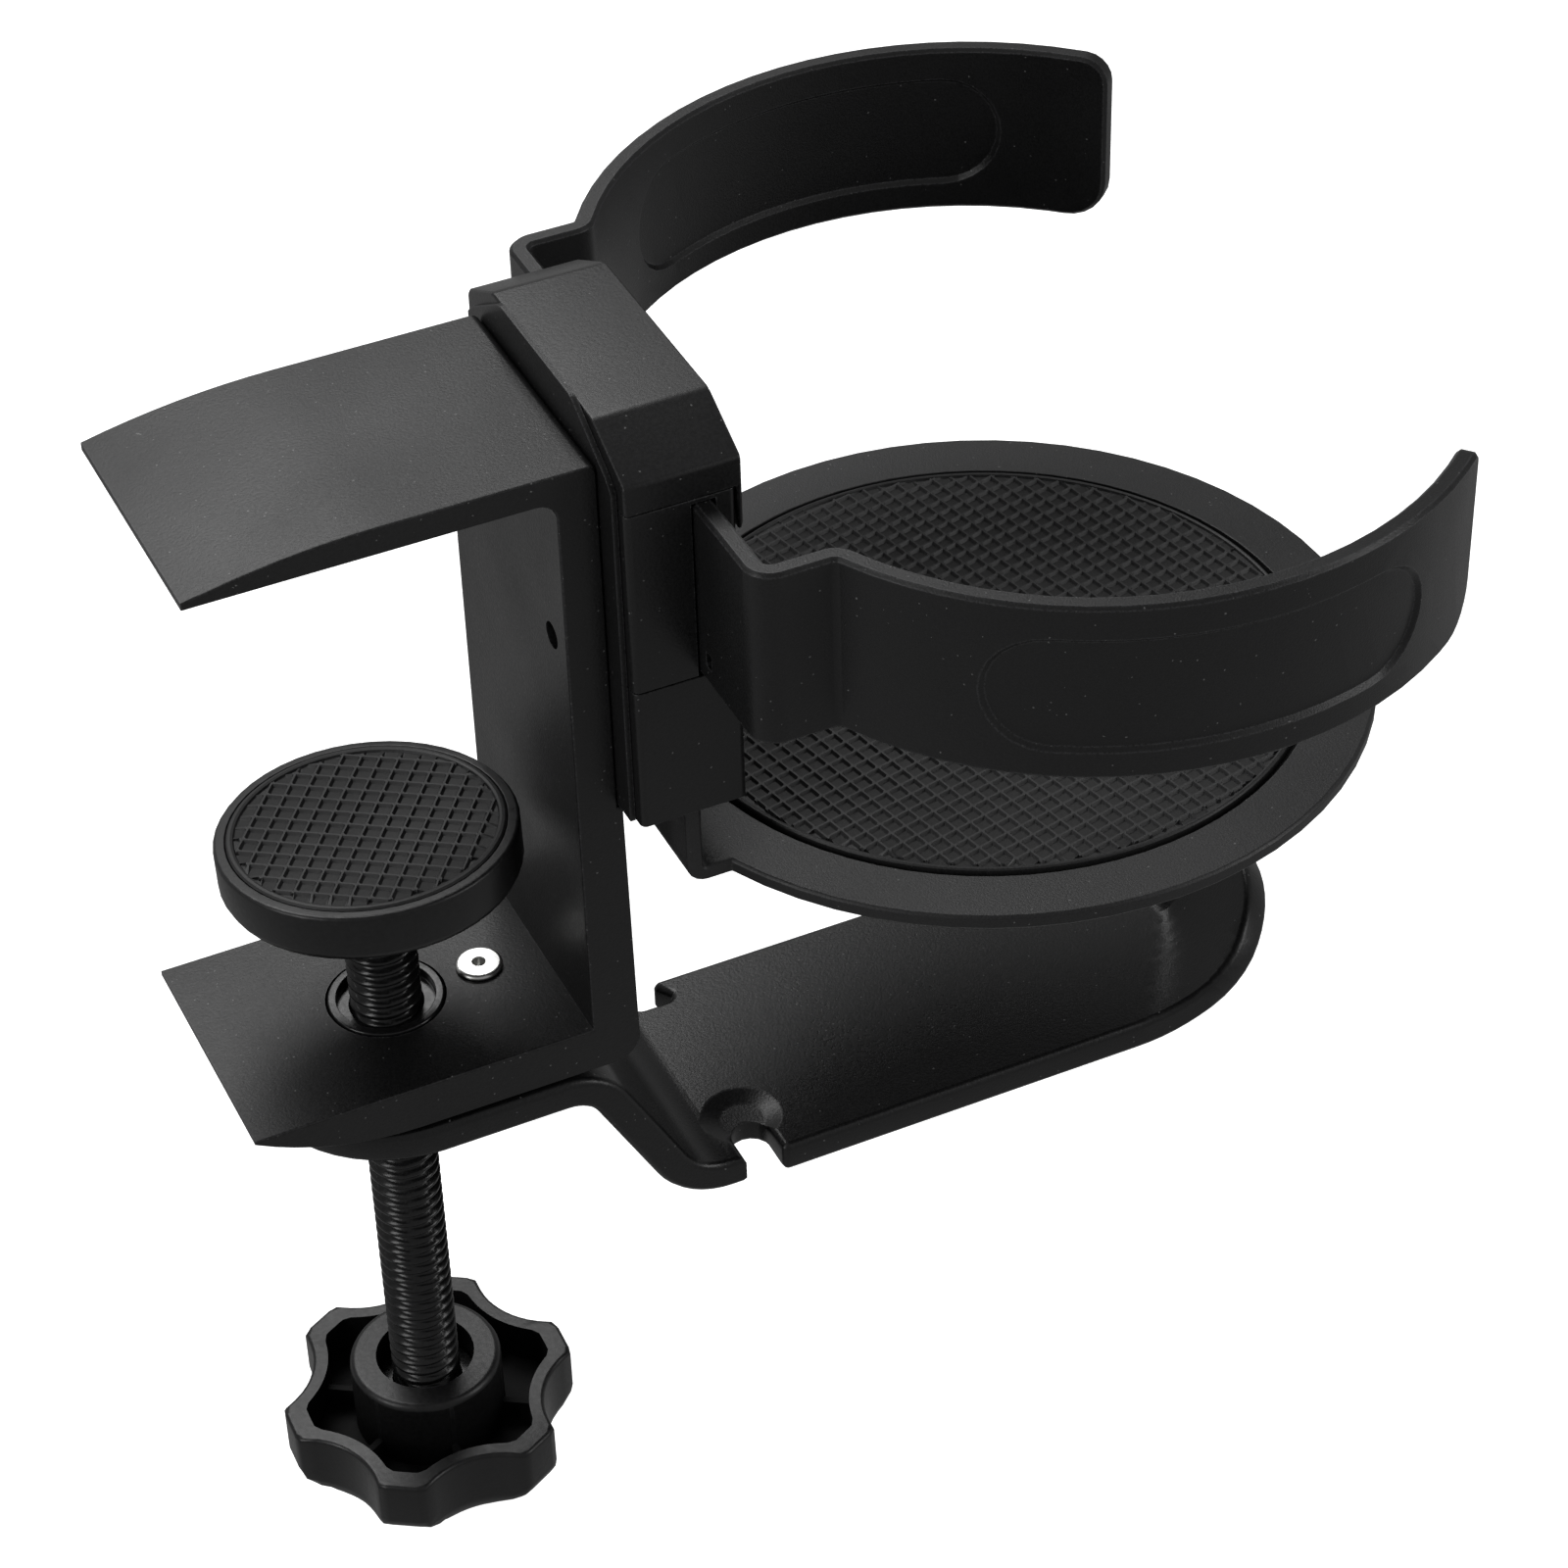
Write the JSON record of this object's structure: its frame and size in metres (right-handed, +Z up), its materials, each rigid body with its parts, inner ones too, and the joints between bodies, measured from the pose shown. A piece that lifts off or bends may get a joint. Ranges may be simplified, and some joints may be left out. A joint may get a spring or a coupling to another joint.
{
  "type": "desk clamp cup holder",
  "caption": "Screw clamp for a desk edge that carries a round cup rest between sliding grip arms and a swivelling hook below.",
  "frame": {"origin": "on the clamp screw's axis, at the upper jaw's flat underside, the face that rests on the desk top", "axes": "+Z up along the clamp screw, +X from the clamp towards the cup rest, +Y to the left as seen looking along +X"},
  "size_m": [0.1364, 0.1101, 0.1457],
  "materials": {
    "sparkle_black_paint": "fine sparkling black powder coat",
    "satin_black_paint": "satin black paint",
    "housing_black": "satin black paint on die-cast metal",
    "black_screw_steel": "black oxide, oiled",
    "zinc_steel": "bright zinc plate",
    "plain_steel": "plain",
    "black_plastic": "fine satin moulding",
    "nylon": "plain",
    "black_rubber": "matt"
  },
  "bodies": {
    "frame": {"clamp_frame": "sparkle_black_paint", "screw_bush": "black_screw_steel", "stop_rivet": "zinc_steel", "hook_washer": "nylon", "retaining_ring": "plain_steel", "back_plate": "satin_black_paint", "housing_body": "housing_black", "housing_base": "housing_black", "housing_cover": "housing_black", "arm_brake_near": "nylon", "arm_brake_far": "nylon", "brake_spring_far": "black_rubber", "cup_base": "sparkle_black_paint", "cup_mat": "black_rubber", "base_screw_near": "black_screw_steel", "base_screw_far": "black_screw_steel", "stack_screw_near": "black_screw_steel", "stack_screw_far": "black_screw_steel", "grub_screw": "black_screw_steel"},
    "pad_carrier": {"pad_seat": "nylon"},
    "screw": {"clamp_screw": "black_screw_steel", "star_knob": "black_plastic", "knob_insert": "black_screw_steel", "knob_screw": "plain_steel", "knob_cap": "black_plastic"},
    "pad": {"pad_cup": "black_plastic", "pad_rubber": "black_rubber"},
    "hook": {"headset_hook": "satin_black_paint"},
    "arm_near": {"grip_arm_near": "satin_black_paint"},
    "arm_far": {"grip_arm_far": "satin_black_paint"}
  },
  "joints": [
    {"name": "hook_swivel", "type": "hinge", "parent": "frame", "child": "hook", "pos_m": [0, 0, -0.0772], "axis": [0, 0, 1], "range_deg": [-90, 90]},
    {"name": "screw_travel", "type": "slide", "parent": "frame", "child": "pad_carrier", "axis": [0, 0, 1], "range_m": [-0.0155, 0.0425]},
    {"name": "screw_turn", "type": "hinge", "parent": "pad_carrier", "child": "screw", "pos_m": [0, 0, -0.1335], "axis": [0, 0, 1], "range_deg": [-3721, 10201]},
    {"name": "pad_tilt", "type": "hinge", "parent": "pad_carrier", "child": "pad", "pos_m": [0, 0, -0.0506], "axis": [1, 0, 0], "range_deg": [-1.4, 10.5]},
    {"name": "arm_near_slide", "type": "slide", "parent": "frame", "child": "arm_near", "axis": [0, 1, 0], "range_m": [-0.004, 0.011]},
    {"name": "arm_far_slide", "type": "slide", "parent": "frame", "child": "arm_far", "axis": [0, -1, 0], "range_m": [-0.004, 0.011]}
  ],
  "couplings": [
    {"joint": "screw_turn", "follows": "screw_travel", "rad_per_m": 4188.8}
  ]
}
